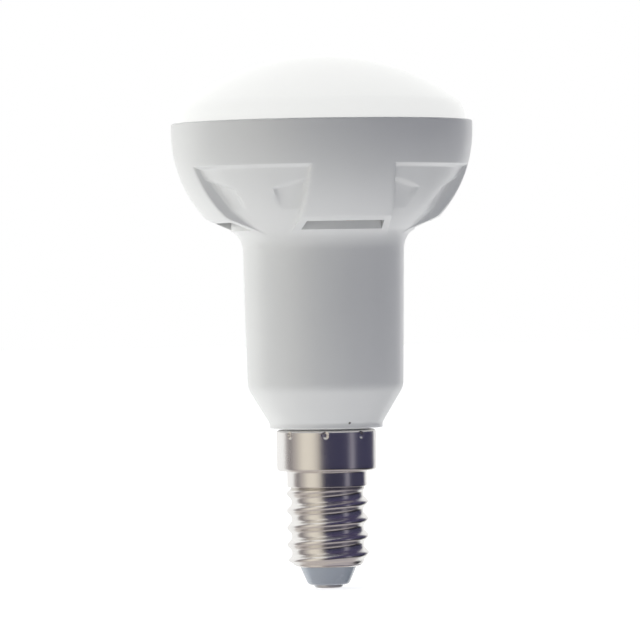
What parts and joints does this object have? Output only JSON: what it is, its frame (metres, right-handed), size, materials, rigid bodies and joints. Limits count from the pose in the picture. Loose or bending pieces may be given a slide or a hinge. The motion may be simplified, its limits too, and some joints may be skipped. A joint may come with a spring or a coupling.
{
  "type": "reflector lamp",
  "caption": "Reflector lamp with an opal dome, a white moulded housing with vented hoods on a bowl and neck, and a small plated screw cap with its driver inside.",
  "frame": {"origin": "middle of the centre contact's face, at the foot of the cap", "axes": "+Z along the lamp's axis from the cap to the dome; a vent hood points along each of X and Y"},
  "size_m": [0.05, 0.05, 0.0883],
  "materials": {
    "opal_diffuser": "satin opal polycarbonate",
    "white_moulding": "semi-gloss white moulding",
    "nickel_plate": "bright nickel plate",
    "insulator_moulding": "matt pale grey moulding",
    "tinned_contact": "tinned brass",
    "pressed_aluminium": "plain pressed sheet",
    "white_laminate": "white solder mask on a metal core",
    "phosphor": "clear encapsulant over phosphor",
    "zinc_screw": "zinc plated",
    "green_laminate": "solder mask on laminate",
    "capacitor_sleeve": "shrunk sleeve",
    "ferrite": "ground ferrite",
    "black_moulding": "moulded epoxy",
    "winding_tape": "polyester tape",
    "resistor_coat": "flameproof coat",
    "red_sleeve": "wire insulation",
    "black_sleeve": "wire insulation"
  },
  "bodies": {
    "root": {"diffuser_dome": "opal_diffuser", "housing": "white_moulding", "screw_shell": "nickel_plate", "cap_insulator": "insulator_moulding", "centre_contact": "tinned_contact", "heat_sink": "pressed_aluminium", "led_board": "white_laminate", "led_packages": "phosphor", "board_screws": "zinc_screw", "driver_board": "green_laminate", "input_capacitor": "capacitor_sleeve", "output_capacitor": "capacitor_sleeve", "transformer_core": "ferrite", "transformer_bobbin": "black_moulding", "transformer_winding": "winding_tape", "bridge_rectifier": "black_moulding", "driver_chip": "black_moulding", "fuse_resistor": "resistor_coat", "positive_lead": "red_sleeve", "negative_lead": "black_sleeve", "live_lead": "red_sleeve", "neutral_lead": "black_sleeve"}
  },
  "joints": []
}
